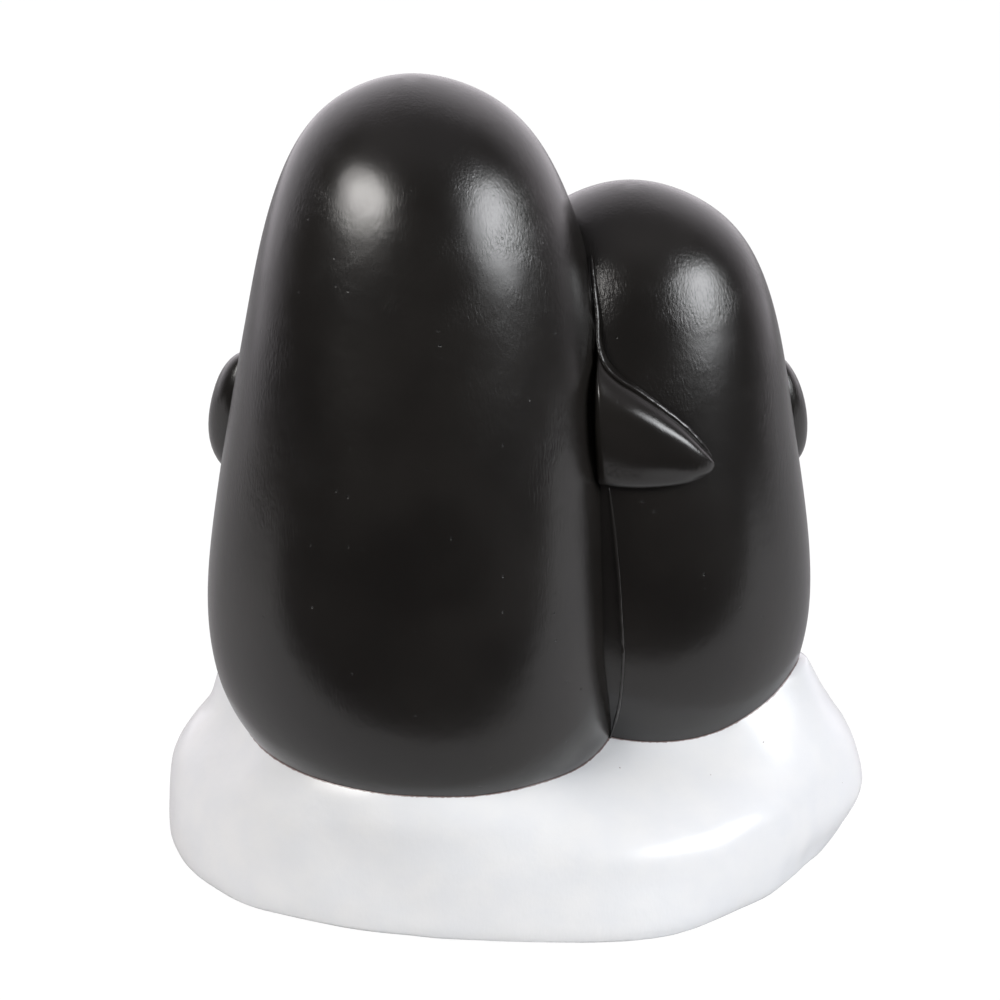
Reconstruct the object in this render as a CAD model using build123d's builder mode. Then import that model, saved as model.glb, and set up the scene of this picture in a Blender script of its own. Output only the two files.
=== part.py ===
from build123d import *
from dataclasses import dataclass
from math import cos, radians, sin
import os

# A cast and painted figurine: a tall penguin with its wing laid over a chick's back, both
# bedded in a snow mound. It faces -Y, the floor is at zero, and the mound's centre is at zero.

# Sizes shared by the whole casting
base_width = 202
base_depth = 140
snow_height = 56
felt_thickness = 1.5
felt_proud = 0.5
felt_margin = 5
wall = 7
glue_gap = 0.3
spigot_reach = 4.5
overrun = 1

# Steel dowels that hold each body on the mound
dowel_radius = 3
dowel_length = 24
bore_clearance = 0.1
bore_end_clearance = 0.5
adult_dowel_spacing = 28
chick_dowel_spacing = 20
chick_dowel_shift = 8.5


@dataclass
class Bird:
    """One body. Sections hold a rise, a width and a lean, each as a share of its own size."""

    x: float
    y: float
    foot: float
    crown: float
    half_width: float
    lean: float
    section_shares: list
    depth_share: float = 0.93

    def height(self, rise):
        return self.foot + rise * (self.crown - self.foot)

    def section_at(self, rise):
        """Half width and axis position at a rise, read between the two nearest sections."""
        rows = self.section_shares
        upper = next(i for i, row in enumerate(rows) if row[0] >= rise or i == len(rows) - 1)
        upper = max(upper, 1)
        low, high = rows[upper - 1], rows[upper]
        part = (rise - low[0]) / (high[0] - low[0])
        width = low[1] + part * (high[1] - low[1])
        lean = low[2] + part * (high[2] - low[2])
        return self.half_width * width, self.x + self.lean * lean

    def outward(self, turn):
        """Level direction that stands square to the skin at a turn round the body."""
        return Vector(cos(radians(turn)), sin(radians(turn)) / self.depth_share, 0).normalized()

    def on_skin(self, rise, turn):
        """Point of the skin at a rise and a turn."""
        half, axis = self.section_at(rise)
        across = half * cos(radians(turn))
        along = half * self.depth_share * sin(radians(turn))
        return Vector(axis + across, self.y + along, self.height(rise))

    def covers(self, point):
        """Whether a point lies inside the skin."""
        rise = (point.Z - self.foot) / (self.crown - self.foot)
        if not 0 < rise < 1:
            return False
        half, axis = self.section_at(rise)
        across = (point.X - axis) / half
        along = (point.Y - self.y) / (half * self.depth_share)
        return across ** 2 + along ** 2 < 1

    def skin(self, grow=0):
        """Solid inside the skin, with the skin moved out by grow, or in where grow is negative."""
        half = self.half_width + grow
        low, high = self.foot - grow, self.crown + grow
        rings = []
        for rise, width, lean in self.section_shares:
            centre = (self.x + self.lean * lean, self.y, low + rise * (high - low))
            with BuildSketch(Plane(centre)) as ring:
                Ellipse(half * width, half * width * self.depth_share)
            rings.append(ring.sketch)
        with BuildPart() as body:
            loft(rings + [Vertex(self.x + self.lean * self.section_shares[-1][2], self.y, high)])
        return body.part


adult_shares = [
    (0, 0.527, -1.97), (0.025, 0.714, -1.97), (0.06, 0.884, -1.97), (0.12, 0.974, -1.06),
    (0.195, 1, -0.36), (0.285, 1, -0.2), (0.4, 0.96, -0.42), (0.54, 0.893, -0.75), (0.675, 0.816, -1),
    (0.79, 0.736, -1), (0.87, 0.643, -0.9), (0.925, 0.534, -0.75), (0.962, 0.401, -0.55),
    (0.985, 0.252, -0.4), (0.996, 0.13, -0.35),
]
chick_shares = [
    (0, 0.547, 0), (0.03, 0.69, 0.03), (0.075, 0.812, 0.075), (0.135, 0.912, 0.135),
    (0.21, 0.98, 0.21), (0.3, 1, 0.3), (0.42, 0.971, 0.42), (0.56, 0.908, 0.56),
    (0.7, 0.854, 0.7), (0.8, 0.787, 0.8), (0.87, 0.704, 0.87), (0.92, 0.595, 0.92),
    (0.957, 0.447, 0.957), (0.983, 0.278, 0.983), (0.996, 0.138, 0.996),
]
adult = Bird(x=29, y=11, foot=28, crown=232.8, half_width=58.8, lean=3.3, section_shares=adult_shares)
chick = Bird(x=-37.5, y=-9, foot=31, crown=196.4, half_width=49.2, lean=5.4, section_shares=chick_shares)
adult_solid_foot = 20
chick_solid_foot = 18

# What the neighbours are cut back to, so that a glue line is left between the pieces
adult_clear = adult.skin(glue_gap)
chick_clear = chick.skin(glue_gap)


def spigot(seat, radius, reach, root):
    """Round peg along the seat plane's normal, from reach inside the body to root in the piece."""
    with BuildPart() as peg:
        with BuildSketch(seat.offset(-reach)):
            Circle(radius)
        extrude(amount=reach + root)
    return peg.part


def socket(seat, radius, reach):
    """Blind bore that a spigot is glued into."""
    return spigot(seat, radius + bore_clearance, reach + bore_end_clearance, radius + overrun)


def seat_plane(bird, rise, turn):
    """Plane on the skin with its normal pointing straight out."""
    return Plane(bird.on_skin(rise, turn), x_dir=(0, 0, 1), z_dir=bird.outward(turn))


# Wings. A station is a turn in degrees, a rise, and its shares of the breadth and the thickness.
@dataclass
class Wing:
    """A wing laid on a body, whose station shares run from its upper end to its tip."""

    bird: Bird
    breadth: float
    thickness: float
    station_shares: list
    spigot_radius: float

    def seat(self):
        """Plane on the body under the wing's broadest station, where its spigot goes in."""
        turn, rise = max(self.station_shares, key=lambda row: row[2])[:2]
        return seat_plane(self.bird, rise, turn)

    def crossing(self, other):
        """Point where the wing's middle line comes out of the other body."""
        turns = [row[0] for row in self.station_shares]
        rises = [row[1] for row in self.station_shares]
        points = [self.bird.on_skin(rise, turn) for turn, rise in zip(turns, rises)]
        line = Polyline(*points)
        steps = [line.position_at(step / 100) for step in range(101)]
        return next((point for point in steps if not other.covers(point)), points[0])

    def blank(self):
        """The wing's full shape, partly sunk in the body that it lies on."""
        points = [self.bird.on_skin(row[1], row[0]) for row in self.station_shares]
        rings = []
        for i, (turn, rise, broad, thick) in enumerate(self.station_shares):
            if broad == 0:
                rings.append(Vertex(*points[i]))
                continue
            along = (points[min(i + 1, len(points) - 1)] - points[max(i - 1, 0)]).normalized()
            across = along.cross(self.bird.outward(turn)).normalized()
            with BuildSketch(Plane(points[i], x_dir=across, z_dir=along)) as ring:
                Ellipse(self.breadth * broad / 2, self.thickness * thick / 2)
            rings.append(ring.sketch)
        with BuildPart() as shape:
            loft(rings)
        return shape.part


adult_left = Wing(
    bird=adult, breadth=25, thickness=21, spigot_radius=3,
    station_shares=[
        (-14, 0.59, 0, 0), (-16, 0.578, 0.42, 0.42), (-19, 0.55, 0.75, 0.74), (-23, 0.505, 0.97, 0.94),
        (-27, 0.462, 1, 1), (-31, 0.425, 0.84, 0.92), (-34, 0.4, 0.5, 0.6), (-36, 0.389, 0, 0),
    ],
)
chick_wing_shares = [
    (200, 0.668, 0, 0), (200, 0.652, 0.42, 0.4), (202, 0.62, 0.8, 0.75), (204, 0.573, 1, 0.95),
    (206, 0.525, 0.97, 1), (208, 0.482, 0.78, 0.94), (209, 0.454, 0.46, 0.6), (210, 0.443, 0, 0),
]
chick_right = Wing(
    bird=chick, breadth=22, thickness=16, spigot_radius=2.5, station_shares=chick_wing_shares
)
# The chick's left wing hangs a little further forward, clear of the adult's flank, so its turns
# and those of the right wing add up to this angle
chick_wings_angle = 510
chick_left = Wing(
    bird=chick, breadth=22, thickness=16, spigot_radius=2.5,
    station_shares=[(chick_wings_angle - turn, *rest) for turn, *rest in chick_wing_shares],
)
adult_right = Wing(
    bird=chick, breadth=38, thickness=15, spigot_radius=2,
    station_shares=[
        (70, 0.652, 0.97, 1), (76, 0.649, 0.9, 1), (89, 0.629, 0.65, 0.92), (101, 0.611, 0.44, 0.76),
        (110, 0.594, 0.26, 0.54), (116, 0.58, 0.13, 0.3), (119.5, 0.573, 0, 0),
    ],
)

# The hugging wing's spigot goes straight sideways into the adult's flank
hug_seat = Plane(adult_right.crossing(adult), x_dir=(0, 0, 1), z_dir=(-1, 0, 0))

# Beaks: breadth, height and length, and where they stand on the heads
adult_beak_size = (19, 13, 14)
chick_beak_size = (15, 10, 10)
adult_beak_droop = 2
chick_beak_droop = 1
adult_beak_seat = seat_plane(adult, 0.765, -90)
chick_beak_seat = seat_plane(chick, 0.72, -90)
beak_spigot_radius = 2.5

# Eyes: glossy beads with a shank
adult_eye_radius = 4
chick_eye_radius = 3.5
eye_sunk_share = 0.4
eye_shank_radius = 1.2
adult_eye_seats = [seat_plane(adult, 0.815, -90 + side) for side in (25, -25)]
chick_eye_seats = [seat_plane(chick, 0.775, -90 + side) for side in (26, -26)]

# Feet: each stands on the snow in front and runs in under its body
adult_foot_length = 34
chick_foot_length = 25
foot_width_share = 0.3
foot_heel_share = 0.4
foot_web_share = 0.6
foot_thickness = 8
foot_edge = 2.5
toe_fan_angles = (-24, 0, 24)
foot_tilt_angle = 16
adult_foot_level = 40.5
chick_foot_level = 38.5


def foot_plane(bird, turn, level):
    """Plane of a foot's sole: its x runs straight forward along the toes and tips down a little."""
    point = bird.on_skin((level - bird.foot) / (bird.crown - bird.foot), turn)
    tilt = radians(foot_tilt_angle)
    toes = Vector(0, -cos(tilt), -sin(tilt))
    return Plane(point, x_dir=toes, z_dir=toes.cross(Vector(1, 0, 0)))


def toe_outline(length, fan, grow=0):
    """One toe, as a slot that runs out from the heel at a fan angle."""
    width = length * foot_width_share
    reach = length - width
    middle = Vector(reach / 2, 0).rotate(Axis.Z, fan) - Vector(length * foot_heel_share, 0)
    with BuildSketch() as outline:
        with Locations(Location(middle, (0, 0, fan))):
            SlotCenterToCenter(reach, width + 2 * grow)
    return outline.sketch


def web_outline(length, grow=0):
    with BuildSketch() as outline:
        with Locations((length * (foot_web_share - foot_heel_share), 0)):
            Circle(length * foot_width_share + grow)
    return outline.sketch


def toe(length, fan):
    """One toe with a rounded upper edge."""
    outline = toe_outline(length, fan)
    with BuildPart() as shape:
        add(outline)
        extrude(amount=foot_thickness)
        fillet(shape.faces().sort_by(Axis.Z)[-1].edges(), foot_edge)
    return shape.part


def foot(length):
    """Three toes that fan out from the heel with a thinner web between them, on a level sole."""
    web = web_outline(length)
    toes = [toe(length, fan) for fan in toe_fan_angles]
    with BuildPart() as shape:
        add(web)
        extrude(amount=foot_thickness - foot_edge)
        for one in toes:
            add(one)
    return shape.part


def foot_room(length):
    """Space that a foot is bedded in, open upwards."""
    outlines = [toe_outline(length, fan, glue_gap) for fan in toe_fan_angles]
    outlines.append(web_outline(length, glue_gap))
    with BuildPart() as room:
        with BuildSketch(Plane.XY.offset(-glue_gap)):
            for outline in outlines:
                add(outline)
        extrude(amount=foot_thickness * 3)
    return room.part


adult_foot_planes = [foot_plane(adult, -90 + side, adult_foot_level) for side in (22, -22)]
chick_foot_planes = [foot_plane(chick, -90 + side, chick_foot_level) for side in (22, -19)]

# Snow mound: outlines from the floor up, each a share of the base's own half sizes in sixteen
# directions, from the adult's outer side round by the back, the chick's side and the front
snow_rise_shares = [0, 0.09, 0.28, 0.47, 0.62, 0.785, 1]
snow_outline_shares = [
    [0.985, 0.98, 1.0, 0.97, 0.985, 1.01, 0.925, 0.886,
     0.905, 0.93, 0.95, 0.975, 0.985, 0.98, 0.985, 0.985],
    [1.0, 0.99, 1.01, 0.98, 0.995, 1.02, 0.945, 0.9,
     0.945, 0.96, 0.975, 0.995, 1.0, 0.995, 1.0, 1.0],
    [0.998, 0.985, 0.99, 0.97, 0.97, 0.98, 0.945, 0.93,
     1.0, 0.99, 0.985, 0.99, 0.995, 0.99, 0.995, 1.0],
    [0.982, 0.95, 0.97, 0.965, 0.93, 0.92, 0.9, 0.91,
     0.985, 0.98, 0.98, 0.98, 0.975, 0.965, 0.97, 0.98],
    [0.94, 0.9, 0.93, 0.96, 0.88, 0.74, 0.76, 0.85,
     0.95, 0.945, 0.95, 0.95, 0.91, 0.89, 0.91, 0.92],
    [0.872, 0.82, 0.86, 0.91, 0.735, 0.48, 0.54, 0.75,
     0.89, 0.86, 0.77, 0.63, 0.5, 0.55, 0.65, 0.82],
    [0.84, 0.76, 0.72, 0.74, 0.56, 0.36, 0.4, 0.62,
     0.83, 0.78, 0.62, 0.48, 0.42, 0.48, 0.58, 0.75],
]


def snow_outline(height, shares, margin=0):
    """Level outline of the mound at a height, drawn in from its edge by a margin."""
    half_width, half_depth = base_width / 2 - margin, base_depth / 2 - margin
    points = []
    for i, share in enumerate(shares):
        turn = radians(360 * i / len(shares))
        points.append((half_width * share * cos(turn), half_depth * share * sin(turn)))
    with BuildSketch(Plane.XY.offset(height)) as outline:
        with BuildLine():
            Spline(points, periodic=True)
        make_face()
    return outline.sketch


def dowel_points(bird, spacing, shift):
    """Two points across the body, moved away from the other bird by a shift."""
    middle = bird.x - shift
    return [(middle - spacing / 2, bird.y), (middle + spacing / 2, bird.y)]


def dowels(bird, spacing, shift=0):
    with BuildPart() as pins:
        with BuildSketch(Plane.XY.offset(bird.foot - dowel_length / 2)):
            with Locations(*dowel_points(bird, spacing, shift)):
                Circle(dowel_radius)
        extrude(amount=dowel_length)
    return pins.part


def dowel_bores(bird, spacing, shift=0):
    with BuildPart() as bores:
        with BuildSketch(Plane.XY.offset(bird.foot - dowel_length / 2 - bore_end_clearance)):
            with Locations(*dowel_points(bird, spacing, shift)):
                Circle(dowel_radius + bore_clearance)
        extrude(amount=dowel_length + 2 * bore_end_clearance)
    return bores.part


# Solids that several pieces are cut with
adult_bores = dowel_bores(adult, adult_dowel_spacing)
chick_bores = dowel_bores(chick, chick_dowel_spacing, chick_dowel_shift)
adult_hollow = split(
    adult.skin(-wall), bisect_by=Plane.XY.offset(adult.foot + adult_solid_foot), keep=Keep.TOP
)
chick_hollow = split(
    chick.skin(-wall), bisect_by=Plane.XY.offset(chick.foot + chick_solid_foot), keep=Keep.TOP
)
chick_hollow -= adult.skin(glue_gap + wall)
foot_rooms = [sole.location * foot_room(adult_foot_length) for sole in adult_foot_planes]
foot_rooms += [sole.location * foot_room(chick_foot_length) for sole in chick_foot_planes]

# Mound, cast solid, with a seat for each body and each foot and a recess for the felt
with BuildPart() as snow_base:
    loft([
        snow_outline(felt_proud + rise * (snow_height - felt_proud), shares)
        for rise, shares in zip(snow_rise_shares, snow_outline_shares)
    ])
    add(adult_clear, mode=Mode.SUBTRACT)
    add(chick_clear, mode=Mode.SUBTRACT)
    add(adult_bores, mode=Mode.SUBTRACT)
    add(chick_bores, mode=Mode.SUBTRACT)
    add(foot_rooms, mode=Mode.SUBTRACT)
    add(snow_outline(felt_proud, snow_outline_shares[0], felt_margin - glue_gap))
    extrude(amount=felt_thickness - felt_proud, mode=Mode.SUBTRACT)

# Felt, glued into the recess under the mound
with BuildPart() as felt_sheet:
    add(snow_outline(0, snow_outline_shares[0], felt_margin))
    extrude(amount=felt_thickness)

# Adult's body, a closed hollow casting with a solid foot
with BuildPart() as adult_body:
    add(adult.skin())
    add(adult_hollow, mode=Mode.SUBTRACT)
    add(adult_bores, mode=Mode.SUBTRACT)
    add(socket(adult_left.seat(), adult_left.spigot_radius, spigot_reach), mode=Mode.SUBTRACT)
    add(socket(hug_seat, adult_right.spigot_radius, spigot_reach), mode=Mode.SUBTRACT)
    add(socket(adult_beak_seat, beak_spigot_radius, spigot_reach), mode=Mode.SUBTRACT)
    for seat in adult_eye_seats:
        add(socket(seat, eye_shank_radius, spigot_reach), mode=Mode.SUBTRACT)

# Chick's body, with its flank hollowed to nest against the adult
with BuildPart() as chick_body:
    add(chick.skin())
    add(chick_hollow, mode=Mode.SUBTRACT)
    add(adult_clear, mode=Mode.SUBTRACT)
    add(chick_bores, mode=Mode.SUBTRACT)
    add(socket(chick_right.seat(), chick_right.spigot_radius, spigot_reach), mode=Mode.SUBTRACT)
    add(socket(chick_left.seat(), chick_left.spigot_radius, spigot_reach), mode=Mode.SUBTRACT)
    add(socket(chick_beak_seat, beak_spigot_radius, spigot_reach), mode=Mode.SUBTRACT)
    for seat in chick_eye_seats:
        add(socket(seat, eye_shank_radius, spigot_reach), mode=Mode.SUBTRACT)


def wing(form, seat):
    """A wing cut to lie on both bodies, with its spigot."""
    blank = form.blank()
    peg = spigot(seat, form.spigot_radius, spigot_reach, form.thickness / 4)
    with BuildPart() as shape:
        add(blank)
        add(adult_clear, mode=Mode.SUBTRACT)
        add(chick_clear, mode=Mode.SUBTRACT)
        add(peg)
    return shape.part


def beak(seat, size, droop):
    """A short rounded bill with its spigot, cut to lie on the head."""
    breadth, height, length = size
    profile_shares = [(-0.25, 1), (0.1, 0.95), (0.4, 0.8), (0.7, 0.54), (0.9, 0.3)]
    rings = []
    for out, size_share in profile_shares:
        drop = droop * max(out, 0) ** 2
        centre = seat.offset(length * out).origin - Vector(0, 0, drop)
        with BuildSketch(Plane(centre, x_dir=(1, 0, 0), z_dir=seat.z_dir)) as ring:
            Ellipse(breadth * size_share / 2, height * size_share / 2)
        rings.append(ring.sketch)
    tip = seat.offset(length).origin - Vector(0, 0, droop)
    peg = spigot(seat, beak_spigot_radius, spigot_reach, length / 4)
    with BuildPart() as shape:
        loft(rings + [Vertex(*tip)])
        add(adult_clear, mode=Mode.SUBTRACT)
        add(chick_clear, mode=Mode.SUBTRACT)
        add(peg)
    return shape.part


def eye(seat, radius):
    """A glass-bright bead, sunk a little in the head, with its shank."""
    shank = spigot(seat, eye_shank_radius, spigot_reach, radius * (1 - eye_sunk_share) / 2)
    with BuildPart() as bead:
        with Locations(seat.offset(-radius * eye_sunk_share)):
            Sphere(radius)
        add(adult_clear, mode=Mode.SUBTRACT)
        add(chick_clear, mode=Mode.SUBTRACT)
        add(shank)
    return bead.part


def standing_foot(sole, length):
    """A foot whose heel is cut to lie on the body that it stands out from."""
    blank = sole.location * foot(length)
    with BuildPart() as shape:
        add(blank)
        add(adult_clear, mode=Mode.SUBTRACT)
        add(chick_clear, mode=Mode.SUBTRACT)
    return shape.part


pieces = {
    "snow_base": snow_base.part,
    "felt_sheet": felt_sheet.part,
    "adult_body": adult_body.part,
    "chick_body": chick_body.part,
    "adult_dowels": dowels(adult, adult_dowel_spacing),
    "chick_dowels": dowels(chick, chick_dowel_spacing, chick_dowel_shift),
    "adult_left_wing": wing(adult_left, adult_left.seat()),
    "adult_right_wing": wing(adult_right, hug_seat),
    "chick_right_wing": wing(chick_right, chick_right.seat()),
    "chick_left_wing": wing(chick_left, chick_left.seat()),
    "adult_beak": beak(adult_beak_seat, adult_beak_size, adult_beak_droop),
    "chick_beak": beak(chick_beak_seat, chick_beak_size, chick_beak_droop),
    "adult_left_eye": eye(adult_eye_seats[0], adult_eye_radius),
    "adult_right_eye": eye(adult_eye_seats[1], adult_eye_radius),
    "chick_left_eye": eye(chick_eye_seats[0], chick_eye_radius),
    "chick_right_eye": eye(chick_eye_seats[1], chick_eye_radius),
    "adult_left_foot": standing_foot(adult_foot_planes[0], adult_foot_length),
    "adult_right_foot": standing_foot(adult_foot_planes[1], adult_foot_length),
    "chick_left_foot": standing_foot(chick_foot_planes[0], chick_foot_length),
    "chick_right_foot": standing_foot(chick_foot_planes[1], chick_foot_length),
}
os.makedirs("parts", exist_ok=True)
for name, piece in pieces.items():
    piece.label = name
    export_step(piece, f"parts/{name}.step")
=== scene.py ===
import bpy
import math
from mathutils import Matrix, Vector
from mathutils.bvhtree import BVHTree


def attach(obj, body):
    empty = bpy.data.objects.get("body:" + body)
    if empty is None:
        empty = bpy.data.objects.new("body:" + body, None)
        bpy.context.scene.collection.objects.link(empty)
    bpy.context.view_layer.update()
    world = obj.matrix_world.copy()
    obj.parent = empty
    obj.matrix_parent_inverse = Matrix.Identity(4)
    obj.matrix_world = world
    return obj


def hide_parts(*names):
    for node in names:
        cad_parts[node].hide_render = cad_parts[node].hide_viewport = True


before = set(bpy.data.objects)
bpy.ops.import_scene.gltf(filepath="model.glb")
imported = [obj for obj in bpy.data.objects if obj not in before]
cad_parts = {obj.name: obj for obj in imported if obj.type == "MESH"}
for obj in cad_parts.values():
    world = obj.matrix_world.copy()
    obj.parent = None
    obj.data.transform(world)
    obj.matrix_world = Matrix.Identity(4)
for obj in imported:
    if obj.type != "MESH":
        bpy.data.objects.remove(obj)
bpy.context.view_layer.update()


# Snow mound
# The white mound is one solid casting that both birds are bedded in. Its outline is drawn in
# sixteen directions at each height, from the adult's outer side round by the back. Satin white
# paint goes over it, cut in against the black by hand, which leaves a thin brown line.

snow_half_width, snow_half_depth = 0.1008, 0.0697
snow_low, snow_high = 0.0005, 0.056
# The outline at each rise, as shares of the two half sizes.
snow_rises = [0.0, 0.09, 0.28, 0.47, 0.62, 0.785, 1.0]
snow_outlines = [
    [0.985, 0.98, 1.0, 0.97, 0.985, 1.01, 0.925, 0.886, 0.905, 0.93, 0.95, 0.975, 0.985, 0.98, 0.985, 0.985],
    [1.0, 0.99, 1.01, 0.98, 0.995, 1.02, 0.945, 0.9, 0.945, 0.96, 0.975, 0.995, 1.0, 0.995, 1.0, 1.0],
    [0.998, 0.985, 0.99, 0.97, 0.97, 0.98, 0.945, 0.93, 1.0, 0.99, 0.985, 0.99, 0.995, 0.99, 0.995, 1.0],
    [0.982, 0.95, 0.97, 0.955, 0.915, 0.92, 0.9, 0.91, 0.985, 0.98, 0.98, 0.98, 0.975, 0.965, 0.97, 0.98],
    [0.94, 0.9, 0.93, 0.94, 0.845, 0.74, 0.76, 0.85, 0.95, 0.945, 0.95, 0.95, 0.91, 0.89, 0.91, 0.92],
    [0.872, 0.82, 0.86, 0.88, 0.7, 0.48, 0.54, 0.75, 0.89, 0.86, 0.77, 0.63, 0.5, 0.55, 0.65, 0.82],
    [0.84, 0.76, 0.72, 0.74, 0.56, 0.36, 0.4, 0.62, 0.83, 0.78, 0.62, 0.48, 0.42, 0.48, 0.58, 0.75],
]
directions, outline_points, rings_per_level = 16, 96, 4


def deselect():
    if bpy.context.object and bpy.context.object.mode != "OBJECT":
        bpy.ops.object.mode_set(mode="OBJECT")
    bpy.ops.object.select_all(action="DESELECT")


def select_only(piece):
    deselect()
    piece.select_set(True)
    bpy.context.view_layer.objects.active = piece


def start_piece(name):
    """An empty mesh under the piece's name, open in edit mode, at the origin."""
    deselect()
    bpy.ops.mesh.primitive_circle_add(vertices=3)
    piece = bpy.context.object
    piece.name = piece.data.name = name
    bpy.ops.object.mode_set(mode="EDIT")
    bpy.ops.mesh.select_all(action="SELECT")
    bpy.ops.mesh.delete(type="VERT")
    return piece


def add_ring(points, centre, turn, half_across, half_up):
    """One elliptic ring of points. Its x and y run along the turn's first two axes."""
    bpy.ops.mesh.primitive_circle_add(
        vertices=points, radius=half_across, location=centre, rotation=turn.to_euler()
    )
    bpy.ops.transform.resize(
        value=(1, half_up / half_across, 1), orient_type="GLOBAL", orient_matrix=turn.transposed(),
        orient_matrix_type="GLOBAL", center_override=centre
    )


def turn_outwards():
    """Turns all faces of the open piece outwards and leaves edit mode."""
    bpy.ops.mesh.select_all(action="SELECT")
    bpy.ops.mesh.normals_make_consistent(inside=False)
    bpy.ops.object.mode_set(mode="OBJECT")


def close_loft(piece, points):
    """Bridges the rings in their order and closes the first and the last one with a grid."""
    bpy.ops.mesh.select_all(action="SELECT")
    bpy.ops.mesh.bridge_edge_loops()
    bpy.ops.object.mode_set(mode="OBJECT")
    last = len(piece.data.vertices) - points
    for start in (0, last):
        bpy.ops.object.mode_set(mode="EDIT")
        bpy.ops.mesh.select_all(action="DESELECT")
        bpy.ops.object.mode_set(mode="OBJECT")
        for point in piece.data.vertices[start:start + points]:
            point.select = True
        for edge in piece.data.edges:
            edge.select = all(start <= i < start + points for i in edge.vertices)
        bpy.ops.object.mode_set(mode="EDIT")
        bpy.ops.mesh.fill_grid()
    turn_outwards()


def apply_modifier(piece, kind, **settings):
    select_only(piece)
    modifier = piece.modifiers.new(kind.title(), kind)
    for name, value in settings.items():
        setattr(modifier, name, value)
    bpy.ops.object.modifier_apply(modifier=modifier.name)


def subdivide(piece, levels):
    apply_modifier(piece, "SUBSURF", levels=levels, render_levels=levels)


def smooth(piece, iterations):
    apply_modifier(piece, "SMOOTH", factor=0.5, iterations=iterations)


def hand_unevenness(piece, size, depth):
    """The low swells that a hand-made master leaves in every surface."""
    swell = bpy.data.textures.new(piece.name + "_swell", "CLOUDS")
    swell.noise_scale = size
    swell.noise_depth = 1
    apply_modifier(
        piece, "DISPLACE", texture=swell, texture_coords="LOCAL", strength=depth, mid_level=0.5
    )


def between(values, place, closed=False):
    """A smooth value between listed ones, which it passes through."""
    count = len(values)
    low = math.floor(place)
    part = place - low
    pick = (lambda i: values[i % count]) if closed else (lambda i: values[max(0, min(count - 1, i))])
    a, b, c, d = (pick(low + step) for step in (-1, 0, 1, 2))
    return b + 0.5 * part * (c - a + part * (2 * a - 5 * b + 4 * c - d + part * (3 * (b - c) + d - a)))


def outline_ring(piece, shares, height, margin=0):
    """The mound's outline at one height, drawn in by a margin."""
    add_ring(outline_points, (0, 0, height), Matrix.Identity(3), 1, 1)
    bpy.ops.object.mode_set(mode="OBJECT")
    for point in piece.data.vertices[-outline_points:]:
        angle = math.atan2(point.co.y, point.co.x)
        share = between(shares, angle / math.tau * directions, closed=True)
        spot = share * Vector((snow_half_width * math.cos(angle), snow_half_depth * math.sin(angle)))
        point.co.x, point.co.y = spot - spot.normalized() * margin
    bpy.ops.object.mode_set(mode="EDIT")


snow = start_piece("snow_mound")
for step in range(rings_per_level * (len(snow_rises) - 1) + 1):
    level = step / rings_per_level
    rise = between(snow_rises, level)
    shares = [between([outline[i] for outline in snow_outlines], level) for i in range(directions)]
    outline_ring(snow, shares, snow_low + rise * (snow_high - snow_low))
close_loft(snow, outline_points)
subdivide(snow, 1)
hand_unevenness(snow, 0.028, 0.0016)
hand_unevenness(snow, 0.012, 0.0006)
smooth(snow, 3)
for point in snow.data.vertices:
    point.co.z = max(point.co.z, snow_low)


class Finish:
    """A value or colour that varies over a surface. Sums of such values are written as sums."""

    def __init__(self, tree, socket=None):
        self.tree, self.socket = tree, socket

    def node(self, kind, sockets, output=0, **settings):
        made = self.tree.nodes.new(kind)
        for name, value in settings.items():
            setattr(made, name, value)
        for key, value in sockets.items():
            if isinstance(value, Finish):
                self.tree.links.new(value.socket, made.inputs[key])
            else:
                made.inputs[key].default_value = value
        return Finish(self.tree, made.outputs[output])

    def math(self, operation, *values):
        return self.node("ShaderNodeMath", dict(enumerate(values)), operation=operation)

    def __add__(self, other):
        return self.math("ADD", self, other)

    def __radd__(self, other):
        return self.math("ADD", other, self)

    def __sub__(self, other):
        return self.math("SUBTRACT", self, other)

    def __rsub__(self, other):
        return self.math("SUBTRACT", other, self)

    def __mul__(self, other):
        return self.math("MULTIPLY", self, other)

    def __rmul__(self, other):
        return self.math("MULTIPLY", other, self)

    def __truediv__(self, other):
        return self.math("DIVIDE", self, other)

    def __rtruediv__(self, other):
        return self.math("DIVIDE", other, self)

    def absolute(self):
        return self.math("ABSOLUTE", self)

    def most(self, other):
        return self.math("MAXIMUM", self, other)

    def least(self, other):
        return self.math("MINIMUM", self, other)

    def fade(self, low, high):
        """0 below low, 1 above high, and soft between them."""
        sockets = {"Value": self, "From Min": low, "From Max": high}
        return self.node("ShaderNodeMapRange", sockets, interpolation_type="SMOOTHSTEP")

    def noise(self, scale, detail, roughness=0.5, distortion=0.0):
        sockets = {"Vector": self, "Scale": scale, "Detail": detail}
        sockets |= {"Roughness": roughness, "Distortion": distortion}
        return self.node("ShaderNodeTexNoise", sockets)

    def mapped(self, scale, rotation=(0, 0, 0)):
        sockets = {"Vector": self, "Scale": scale, "Rotation": rotation}
        return self.node("ShaderNodeMapping", sockets)

    def axis(self, index):
        return self.node("ShaderNodeSeparateXYZ", {0: self}, output=index)

    def colours(self, first, second):
        """A mix from the first colour to the second as this value goes from 0 to 1."""
        return self.node("ShaderNodeMix", {0: self, 6: first, 7: second}, output=2, data_type="RGBA")


def new_finish(name, **fixed):
    """A material with one Principled shader and its fixed values, and the object's own coordinates."""
    material = bpy.data.materials.new(name)
    material.use_nodes = True
    tree = material.node_tree
    shader = tree.nodes["Principled BSDF"]
    for key, value in fixed.items():
        shader.inputs[key.replace("_", " ")].default_value = value
    place = Finish(tree).node("ShaderNodeTexCoord", {}, output=3)
    return material, shader, place


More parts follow.
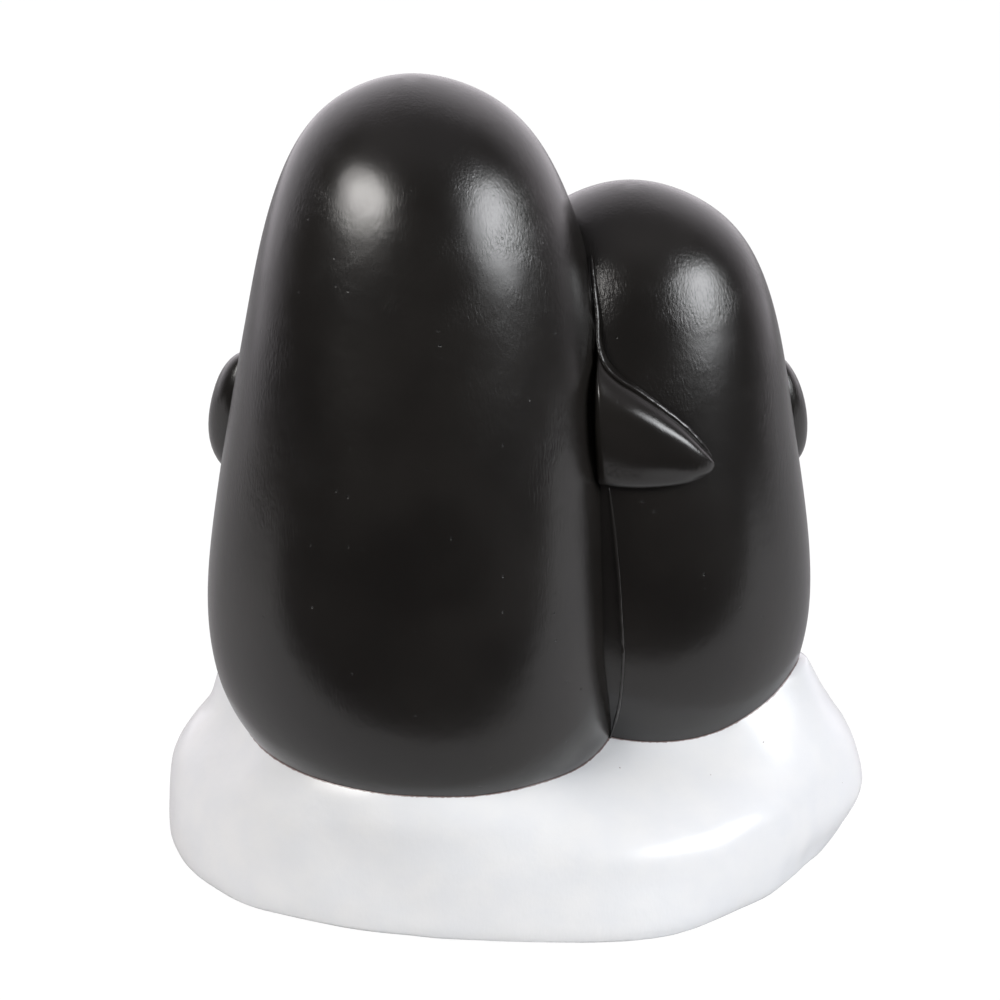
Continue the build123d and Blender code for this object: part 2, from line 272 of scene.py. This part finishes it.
def join(shader, **values):
    for key, value in values.items():
        value.tree.links.new(value.socket, shader.inputs[key.replace("_", " ")])


def bump(height, distance, strength, under=None):
    """Relief that is so many metres high, on the relief that lies under it."""
    sockets = {"Height": height, "Distance": distance, "Strength": strength}
    if under:
        sockets["Normal"] = under
    return height.node("ShaderNodeBump", sockets)


def finish_piece(piece, slot, *nodes, angle=45):
    select_only(piece)
    bpy.ops.object.shade_smooth_by_angle(angle=math.radians(angle))
    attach(piece, "root")
    if nodes:
        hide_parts(*nodes)


snow_paint, shader, place = new_finish("snow_paint", Coat_Weight=0.8, Coat_Roughness=0.2)
tint = place.noise(90, 3).fade(0.3, 0.75).colours((0.85, 0.865, 0.888, 1), (0.885, 0.893, 0.903, 1))
specks = place.noise(420, 2, 0.6).fade(0.775, 0.8) * place.noise(60, 1).fade(0.5, 0.62)
joint_line = place.node("ShaderNodeAttribute", {}, output=2, attribute_name="joint_distance")
ragged = joint_line + (place.noise(900, 2) - 0.5) * 0.5
edge = 1 - ragged.fade(0.18, 0.42)
colour = specks.colours(tint, (0.3, 0.24, 0.22, 1))
colour = (edge * 0.85).colours(colour, (0.13, 0.045, 0.035, 1))
soft = place.noise(160, 2)
strokes = place.mapped((1, 1, 0.35)).noise(1400, 2, 0.6, 0.4)
relief = bump(strokes, 0.00006, 0.5, bump(soft, 0.0004, 0.35))
join(shader, Base_Color=colour, Roughness=0.36 + soft * 0.16, Normal=relief)
snow.data.materials.append(snow_paint)
finish_piece(snow, "snow_paint", "snow_base")


# Dowels
# Two plain steel pins under each bird stand in bores of the mound and reach up into the body's
# solid foot. They are hidden once the figurine is glued together.

dowel_steel, shader, place = new_finish("dowel_steel", Metallic=1.0)
grain = place.mapped((1, 1, 0.02)).noise(3000, 2)
steel = grain.colours((0.5, 0.5, 0.51, 1), (0.62, 0.62, 0.63, 1))
join(shader, Base_Color=steel, Roughness=0.28 + grain * 0.15)


def repaint(finish, *names):
    """A better finish for pieces that keep their own shape."""
    for name in names:
        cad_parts[name].data.materials.clear()
        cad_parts[name].data.materials.append(finish)


repaint(dowel_steel, "adult_dowels", "chick_dowels")


# Adult body
# The tall bird is a hollow cast egg, widest low down, with its foot and its shoulders a little
# nearer the chick. It is cast closed and bedded in its seat in the snow. Brushed satin black
# covers it, and the face and belly are painted white in front.

def soft_step(share):
    share = max(0, min(1, share))
    return share * share * (3 - 2 * share)


class BodyForm:
    """A body's outer form: flattened rings, from the foot to the crown.

    Each ring is a rise, a half width and a sideways shift, as shares of the height, of the widest
    half width and of the lean.
    """

    depth_share = 0.93

    def __init__(self, rings, x, y, foot, crown, half_width, lean, head_flatness=0):
        self.rings, self.x, self.y, self.foot, self.crown = rings, x, y, foot, crown
        self.half_width, self.lean, self.head_flatness = half_width, lean, head_flatness

    def height(self, rise):
        return self.foot + rise * (self.crown - self.foot)

    def flattening(self, rise, side):
        """What is left of the depth where the back of the head is flattened."""
        return 1 - self.head_flatness * soft_step((rise - 0.5) / 0.4) if side > 0 else 1

    def skin_point(self, rise, turn):
        """The point at a rise and a turn from the adult's outer side, and the way out from it."""
        upper = next(i for i, ring in enumerate(self.rings) if ring[0] >= rise)
        low, high = self.rings[upper - 1], self.rings[upper]
        part = (rise - low[0]) / (high[0] - low[0])
        width = self.half_width * (low[1] + part * (high[1] - low[1]))
        shift = self.lean * (low[2] + part * (high[2] - low[2]))
        along, across = math.cos(math.radians(turn)), math.sin(math.radians(turn))
        deep = self.depth_share * self.flattening(rise, across)
        spot = Vector((self.x + shift + width * along, self.y + width * deep * across, self.height(rise)))
        return spot, Vector((along, across / deep, 0)).normalized()


adult_form = BodyForm(
    [
        (0, 0.527, -1.97), (0.025, 0.714, -1.97), (0.06, 0.884, -1.97), (0.12, 0.974, -1.06),
        (0.195, 1.0, -0.36), (0.285, 1.0, -0.2), (0.4, 0.96, -0.42), (0.54, 0.9, -0.87),
        (0.675, 0.826, -1.16), (0.79, 0.742, -1.1), (0.87, 0.643, -0.9), (0.925, 0.534, -0.75),
        (0.962, 0.401, -0.55), (0.985, 0.252, -0.4), (0.996, 0.13, -0.35), (0.9995, 0.05, -0.35),
    ],
    x=0.029, y=0.011, foot=0.028, crown=0.2328, half_width=0.0588, lean=0.0033
)
body_points, paint_thickness = 48, 0.0001


def cast_body(name, form):
    body = start_piece(name)
    for rise, width, shift in form.rings:
        centre = (form.x + form.lean * shift, form.y, form.height(rise))
        across = (form.half_width + paint_thickness) * width
        add_ring(body_points, centre, Matrix.Identity(3), across, across * form.depth_share)
    close_loft(body, body_points)
    subdivide(body, 3)
    for point in body.data.vertices:
        side = point.co.y - form.y
        rise = (point.co.z - form.foot) / (form.crown - form.foot)
        point.co.y = form.y + side * form.flattening(rise, side)
    hand_unevenness(body, 0.035, 0.00028)
    smooth(body, 12)
    return body


def white_front(place, x, y, cheek_rise, cheek, belly_rise, belly_up, belly_across):
    """1 inside two cheek rounds and a belly, in front of y, with an edge that wavers a little."""
    up, across = place.axis(2), (place.axis(0) - x).absolute()
    side, lift = (across - cheek * 0.92) / cheek, (up - cheek_rise) / (cheek * 1.3)
    low, rise = across / belly_across, (up - belly_rise) / belly_up
    waver = (place.noise(150, 2) - 0.5) * 0.05
    inside = (side * side + lift * lift).least(low * low + rise * rise) + waver
    return (1 - inside.fade(0.97, 1.03)) * (1 - place.axis(1).fade(y - 0.005, y - 0.003))


def black_finish(name, front=None):
    """Black paint brushed upright in some places and slanted in others, with a few pinholes."""
    material, shader, place = new_finish(name, IOR=1.6)
    cloud = place.noise(28, 2)
    colour = cloud.fade(0.3, 0.7).colours((0.0088, 0.0078, 0.007, 1), (0.0146, 0.0131, 0.0118, 1))
    upright = place.mapped((1, 1, 0.2), (0.25, 0.12, 0)).noise(1600, 2, 0.6, 0.6)
    slanted = place.mapped((1, 1, 0.2), (0.3, 0.9, 0.2)).noise(1700, 2, 0.6, 0.6)
    field = place.noise(38, 1).fade(0.45, 0.55)
    strokes = upright * field + slanted * (1 - field)
    # The brush worked the heads more than the parts below them.
    worked = place.noise(60, 2).fade(0.35, 0.65) * (0.25 + place.axis(2).fade(0.09, 0.15) * 0.75)
    spots = {"Vector": place, "Scale": 290.0, "Randomness": 1.0}
    cell = place.node("ShaderNodeTexVoronoi", spots, output=1)
    chosen = cell.node("ShaderNodeSeparateColor", {0: cell})
    rare = chosen.fade(0.76, 0.77) * place.noise(30, 1).fade(0.4, 0.5)
    pit = (1 - place.node("ShaderNodeTexVoronoi", spots).fade(0.07, 0.13)) * rare
    # The pinholes are coloured near-black inside, darker than the paint around them: this is painted shade
    # in the holes.
    colour = pit.colours(colour, (0.0015, 0.0015, 0.0015, 1))
    rough = 0.215 + cloud * 0.03 + worked * 0.03
    if front:
        white = white_front(place, **front)
        colour = white.colours(colour, (0.82, 0.82, 0.8, 1))
        rough = rough + white * 0.1
        pit = pit * (1 - white * 0.75)
    relief = bump(place.noise(190, 2), 0.0001, 0.4, bump(place.noise(700, 2, 0.6), 0.00001, 0.4))
    relief = bump(strokes * (0.12 + worked * 0.88), 0.00013, 0.8, relief)
    relief = bump(pit, -0.00012, 0.7, relief)
    join(shader, Base_Color=colour, Roughness=rough, Normal=relief)
    return material


adult = cast_body("adult_body_skin", adult_form)
adult.data.materials.append(black_finish("adult_black_paint", dict(
    x=0.0265, y=0.011, cheek_rise=0.188, cheek=0.021, belly_rise=0.098, belly_up=0.081, belly_across=0.041
)))
finish_piece(adult, "black_paint", "adult_body")


# Chick body
# The chick is cast the same way and leans against the adult's right side, a little in front of
# it, with a joint line of filler where the two meet. The back of its head is a little flat.

chick_form = BodyForm(
    [
        (0, 0.547, 0), (0.03, 0.69, 0.03), (0.075, 0.812, 0.075), (0.135, 0.912, 0.135),
        (0.21, 0.98, 0.21), (0.3, 1.0, 0.3), (0.42, 0.971, 0.42), (0.56, 0.908, 0.56),
        (0.7, 0.854, 0.7), (0.8, 0.787, 0.8), (0.87, 0.704, 0.87), (0.92, 0.595, 0.92),
        (0.957, 0.447, 0.957), (0.983, 0.278, 0.983), (0.996, 0.138, 0.996), (0.9995, 0.053, 1.0),
    ],
    x=-0.0375, y=-0.009, foot=0.031, crown=0.1964, half_width=0.0492, lean=0.0054, head_flatness=0.11
)
chick = cast_body("chick_body_skin", chick_form)
chick.data.materials.append(black_finish("chick_black_paint", dict(
    x=-0.0335, y=-0.009, cheek_rise=0.152, cheek=0.0175, belly_rise=0.086, belly_up=0.06, belly_across=0.033
)))
finish_piece(chick, "black_paint", "chick_body")


# Where snow and birds meet
# The paint line keeps a thin brown edge where the brush cut white in against black, so the snow
# carries its distance from the two bodies, in millimetres.

skins = [
    BVHTree.FromPolygons([v.co for v in body.data.vertices], [p.vertices for p in body.data.polygons])
    for body in (adult, chick)
]
far_off, search_reach = 1.0, 0.02
distances = []
for point in snow.data.vertices:
    nearest = far_off
    for skin in skins:
        spot, normal, _, distance = skin.find_nearest(point.co, search_reach)
        if spot is not None:
            nearest = min(nearest, distance if (point.co - spot).dot(normal) > 0 else -distance)
    distances.append(nearest * 1000)
snow.data.attributes.new("joint_distance", "FLOAT", "POINT").data.foreach_set("value", distances)


# Adult's left wing
# It is a small casting, thickest along its middle and drawn down to a rounded point. It lies on
# the flank with a spigot in the body, and from behind it shows as a bulge at the edge.

wing_points, least_share = 32, 0.04
wing_black = black_finish("wing_black_paint")


def cast_wing(name, form, breadth, thickness, stations):
    """A wing along stations of the flank: a turn, a rise, and shares of breadth and thickness."""
    wing = start_piece(name)
    line = [form.skin_point(rise, turn) for turn, rise, _, _ in stations]
    for i, (_, _, broad, thick) in enumerate(stations):
        spot, out = line[i]
        ahead = (line[min(i + 1, len(line) - 1)][0] - line[max(i - 1, 0)][0]).normalized()
        side = ahead.cross(out).normalized()
        turned = Matrix((side, ahead.cross(side), ahead)).transposed()
        half_breadth = breadth * max(broad, least_share) / 2
        half_thickness = thickness * max(thick, least_share) / 2
        add_ring(wing_points, spot, turned, half_breadth, half_thickness)
    close_loft(wing, wing_points)
    subdivide(wing, 2)
    hand_unevenness(wing, 0.02, 0.0004)
    wing.data.materials.append(wing_black)
    return wing


adult_left = cast_wing("adult_left_wing_skin", adult_form, 0.025, 0.021, [
    (-14, 0.59, 0, 0), (-16, 0.578, 0.42, 0.42), (-19, 0.55, 0.75, 0.74), (-23, 0.505, 0.97, 0.94),
    (-27, 0.462, 1, 1), (-31, 0.425, 0.84, 0.92), (-34, 0.4, 0.5, 0.6), (-36, 0.389, 0, 0),
])
finish_piece(adult_left, "black_paint", "adult_left_wing")


# Hugging wing
# The adult's right wing has a spigot in the adult's flank and lies glued along the chick's back.
# Its upper edge runs down the crease between the birds and then out to a blunt tip, with a ridge
# close under that edge.

# Each row is a turn and a rise on the chick, of the upper and of the lower edge, root to tip.
hug_edges = [
    (66.9, 0.919, 62, 0.905), (69.2, 0.896, 62, 0.87), (72, 0.865, 62, 0.8), (74, 0.831, 61, 0.72),
    (75.4, 0.792, 60, 0.65), (78.2, 0.762, 61, 0.6), (83.2, 0.739, 66, 0.57), (90.2, 0.719, 76, 0.558),
    (98, 0.691, 87, 0.555), (105.5, 0.66, 97.5, 0.556), (112, 0.623, 105.5, 0.559),
    (115.2, 0.601, 111.5, 0.566), (116.3, 0.587, 115.5, 0.575),
]
hug_height_shares = [0.05, 0.15, 0.25, 0.47, 0.98, 1.3, 1.29, 1.19, 1.07, 0.96, 0.84, 0.65, 0.3]
# Each row is a way down from the upper edge, as a share, and the height over the chick's back.
hug_section = [
    (0, 0), (0.008, 0.0022), (0.02, 0.0036), (0.042, 0.0048), (0.075, 0.006), (0.115, 0.0069),
    (0.17, 0.0075), (0.26, 0.0077), (0.42, 0.0076), (0.6, 0.0069), (0.77, 0.0054), (0.91, 0.004),
    (0.985, 0.0024), (1, 0),
]
hug_sunk, hug_columns, columns_down = 0.002, 72, len(hug_section) * 3 - 3
# Near its root the wing lies low in the crease, up to the fold where it leaves the adult. The
# crease ends over these degrees of turn, and the root over these rows of the edges.
crease_end, fold_width = 73, 4
root_end, root_fade = 1.5, 2
deselect()
bpy.ops.mesh.primitive_grid_add(x_subdivisions=hug_columns, y_subdivisions=columns_down, size=2)
adult_right = bpy.context.object
adult_right.name = adult_right.data.name = "adult_right_wing_skin"
bpy.ops.object.mode_set(mode="EDIT")
bpy.ops.mesh.select_all(action="SELECT")
bpy.ops.mesh.extrude_region_move(TRANSFORM_OT_translate={"value": (0, 0, -1)})
bpy.ops.object.mode_set(mode="OBJECT")
for point in adult_right.data.vertices:
    along = (point.co.x + 1) / 2 * (len(hug_edges) - 1)
    row = (1 - point.co.y) / 2 * (len(hug_section) - 1)
    down, height = (between([station[i] for station in hug_section], row) for i in range(2))
    upper_turn, upper_rise, lower_turn, lower_rise = (
        between([station[i] for station in hug_edges], along) for i in range(4)
    )
    turn = upper_turn + down * (lower_turn - upper_turn)
    rise = upper_rise + down * (lower_rise - upper_rise)
    in_crease = 1 - soft_step((turn - crease_end) / fold_width)
    past_root = max(0, min(1, (along - root_end) / root_fade))
    height *= between(hug_height_shares, along) * (1 - past_root * in_crease)
    spot, out = chick_form.skin_point(rise, turn)
    on_top = point.co.z > -0.5
    point.co = spot + out * (height if on_top else -hug_sunk)
select_only(adult_right)
bpy.ops.object.mode_set(mode="EDIT")
bpy.ops.mesh.select_all(action="SELECT")
bpy.ops.mesh.remove_doubles(threshold=0.00001)
turn_outwards()
subdivide(adult_right, 1)
hand_unevenness(adult_right, 0.02, 0.0003)
adult_right.data.materials.append(wing_black)
finish_piece(adult_right, "black_paint", "adult_right_wing")


# Chick's wings
# The chick has two short wings like the adult's left one. The right one shows at the figurine's
# edge, and the left one hangs in front, between the birds. They mirror each other.

chick_stations = [
    (200, 0.668, 0, 0), (200, 0.652, 0.42, 0.4), (202, 0.62, 0.8, 0.75), (204, 0.573, 1, 0.95),
    (206, 0.525, 0.97, 1), (208, 0.482, 0.78, 0.94), (209, 0.454, 0.46, 0.6), (210, 0.443, 0, 0),
]
left_stations = [(510 - turn, *station) for turn, *station in chick_stations]
chick_right = cast_wing("chick_right_wing_skin", chick_form, 0.022, 0.016, chick_stations)
chick_left = cast_wing("chick_left_wing_skin", chick_form, 0.022, 0.016, left_stations)
finish_piece(chick_right, "black_paint", "chick_right_wing")
finish_piece(chick_left, "black_paint", "chick_left_wing")


# Filler
# The joints between the castings are filled with a thin bead of filler that is painted over. It
# stands a little proud, with small nicks. One bead runs down the crease, one along the wing.

crease = [
    (78.5, 0.56), (80.2, 0.497), (81.8, 0.412), (82.5, 0.334), (82.9, 0.269), (82.6, 0.229), (81.1, 0.17),
    (79, 0.128), (74.7, 0.074),
]
crease_radius, rim_radius, rim_height, rim_proud = 0.0006, 0.00065, 0.0034, 0.0002
bead_points, bead_steps = 10, 6
# The beads are wiped flat from this side.
wiped_from = Vector((-0.44, 0.79, 0.43))


def filler_bead(name, spots, radius):
    bead = start_piece(name)
    steps = bead_steps * (len(spots) - 1)
    line = [
        Vector([between([spot[i] for spot in spots], step / bead_steps) for i in range(3)])
        for step in range(steps + 1)
    ]
    for i, spot in enumerate(line):
        ahead = (line[min(i + 1, steps)] - line[max(i - 1, 0)]).normalized()
        side = ahead.cross(wiped_from).normalized()
        turned = Matrix((side, ahead.cross(side), ahead)).transposed()
        taper = min(1, 0.25 + min(i, steps - i) / 8)
        add_ring(bead_points, spot, turned, radius * taper, radius * taper * 0.45)
    close_loft(bead, bead_points)
    subdivide(bead, 1)
    hand_unevenness(bead, 0.0022, 0.0003)
    bead.data.materials.append(wing_black)
    finish_piece(bead, "black_paint", angle=60)


filler_bead("crease_filler", [chick_form.skin_point(rise, turn)[0] for turn, rise in crease], crease_radius)
rim = []
for share, (turn, rise, _, _) in zip(hug_height_shares, hug_edges[:-1]):
    spot, out = chick_form.skin_point(rise, turn)
    rim.append(spot + out * (rim_height * share + rim_proud))
filler_bead("hug_wing_rim", rim, rim_radius)


# Beaks and feet
# The beaks and feet are small castings in satin orange. A beak has a spigot in the face, and a
# foot lies in its own seat in the snow.

orange_paint, shader, place = new_finish("orange_paint", Coat_Weight=0.3, Coat_Roughness=0.25)
orange = place.noise(110, 3).fade(0.3, 0.7).colours((0.78, 0.22, 0.025, 1), (0.88, 0.31, 0.04, 1))
rough, relief = 0.34 + place.noise(300, 2) * 0.12, bump(place.noise(700, 2), 0.0001, 0.4)
join(shader, Base_Color=orange, Roughness=rough, Normal=relief)
repaint(orange_paint, "adult_beak", "chick_beak")
repaint(orange_paint, "adult_left_foot", "adult_right_foot", "chick_left_foot", "chick_right_foot")


# Eyes
# The eyes are gloss black beads, each on a shank that is glued into the face.

eye_gloss, shader, place = new_finish("eye_gloss", Roughness=0.08, Coat_Weight=0.6, Coat_Roughness=0.05)
join(shader, Base_Color=place.noise(300, 1).colours((0.006, 0.006, 0.007, 1), (0.012, 0.011, 0.011, 1)))
repaint(eye_gloss, "adult_left_eye", "adult_right_eye", "chick_left_eye", "chick_right_eye")


# Felt sheet
# A green felt is cut to the mound's outline, drawn in by a margin, and glued into a shallow recess
# under the base. Only the thin layer that stands proud of the recess is made here.

felt_margin, felt_proud = 0.005, 0.0005
felt_green, shader, place = new_finish("felt_green", Roughness=0.95)
fibres = place.noise(2600, 3, 0.7, 1.2)
green = fibres.colours((0.018, 0.035, 0.026, 1), (0.05, 0.085, 0.065, 1))
join(shader, Base_Color=green, Normal=bump(fibres, 0.0003, 0.8))
felt = start_piece("felt_cut")
outline_ring(felt, snow_outlines[0], 0, felt_margin)
bpy.ops.mesh.select_all(action="SELECT")
bpy.ops.mesh.edge_face_add()
bpy.ops.mesh.extrude_region_move(TRANSFORM_OT_translate={"value": (0, 0, felt_proud)})
turn_outwards()
felt.data.materials.append(felt_green)
finish_piece(felt, "felt", "felt_sheet")


# Table
# The figurine stands on a plain pale table, which ends 8 cm past the mound on the camera's side.
# The camera sees it as white, and it keeps the figurine's shadow.

table_side, table_edge = 1.4, 0.15
deselect()
bpy.ops.mesh.primitive_plane_add(size=table_side, location=(0, table_edge - table_side / 2, 0))
table = bpy.context.object
table.name = "table_top"
table_white = bpy.data.materials.new("table_white")
table_white.use_nodes = True
tree = table_white.node_tree
shader = tree.nodes["Principled BSDF"]
shader.inputs["Base Color"].default_value = (0.62, 0.62, 0.62, 1)
shader.inputs["Roughness"].default_value = 0.9
seen = Finish(tree).node("ShaderNodeLightPath", {}, output=0)
glow = Finish(tree).node("ShaderNodeEmission", {"Color": (1, 1, 1, 1), "Strength": 1.1})
mixed = seen.node("ShaderNodeMixShader", {0: seen * 0.88, 1: Finish(tree, shader.outputs[0]), 2: glow})
tree.links.new(mixed.socket, tree.nodes["Material Output"].inputs[0])
table.data.materials.append(table_white)


# Surround and lamps
# A white wall stands beyond the birds, the ceiling is dim, and a softbox with a brighter middle
# stands on each side of the camera. The camera sees the whole surround as white.

world = bpy.data.worlds.new("white_surround")
bpy.context.scene.world = world
world.use_nodes = True
tree = world.node_tree
direction = Finish(tree).node("ShaderNodeTexCoord", {}, output=0)
beyond = 1 - direction.axis(1).fade(-0.9, 0.0)
above = direction.axis(2).fade(0.5, 1.0)
seen = Finish(tree).node("ShaderNodeLightPath", {}, output=0)
level = (0.04 + beyond * 1.45).most(above * 0.25)
level = level * (1 - seen) + seen * 1.02
tint = seen.colours((1.0, 0.95, 1.0, 1), (1, 1, 1, 1))
backdrop = Finish(tree).node("ShaderNodeBackground", {"Color": tint, "Strength": level})
tree.links.new(backdrop.socket, tree.nodes["World Output"].inputs[0])

lamp_aim = Vector((0, 0.011, 0.15))
warm, cool = (1, 0.98, 0.955), (0.965, 0.98, 1)


def soft_lamp(name, azimuth, rise, distance, power, width, height, colour):
    """A round softbox that faces the birds. Its azimuth is counted from the back towards the adult."""
    light = bpy.data.lights.new(name, "AREA")
    light.shape, light.size, light.size_y = "ELLIPSE", width, height
    light.energy, light.color = power, colour
    lamp = bpy.data.objects.new(name, light)
    bpy.context.scene.collection.objects.link(lamp)
    turn, tilt = math.radians(azimuth), math.radians(rise)
    way = Vector((math.sin(turn) * math.cos(tilt), math.cos(turn) * math.cos(tilt), math.sin(tilt)))
    lamp.location = lamp_aim + way * distance
    lamp.rotation_euler = (-way).to_track_quat("-Z", "Y").to_euler()
    lamp.visible_camera = False


# Azimuth and rise in degrees, distance in metres, power in watts, width and height in metres.
soft_lamp("lamp_left", 50, 30, 1.1, 4.4, 0.8, 0.48, warm)
soft_lamp("lamp_left_middle", 44, 30, 1.09, 3.6, 0.62, 0.31, warm)
soft_lamp("lamp_right", -59, 23, 1.1, 6.2, 0.9, 0.6, cool)
soft_lamp("lamp_right_middle", -59, 23, 1.09, 3.5, 0.5, 0.42, cool)


# Camera
# It stands behind the birds and a little above them, and looks down at them with a long lens.

camera_data = bpy.data.cameras.new("camera")
camera_data.sensor_width, camera_data.lens = 36, 154.3
camera_data.shift_x, camera_data.shift_y = -0.015, 0.007
camera_data.clip_start, camera_data.clip_end = 0.05, 20
camera = bpy.data.objects.new("camera", camera_data)
bpy.context.scene.collection.objects.link(camera)
camera.location = (0, 1.12362, 0.55753)
camera.rotation_euler = (math.radians(68), 0, math.pi)
bpy.context.scene.camera = camera
bpy.context.scene.view_settings.view_transform = "Standard"

deselect()
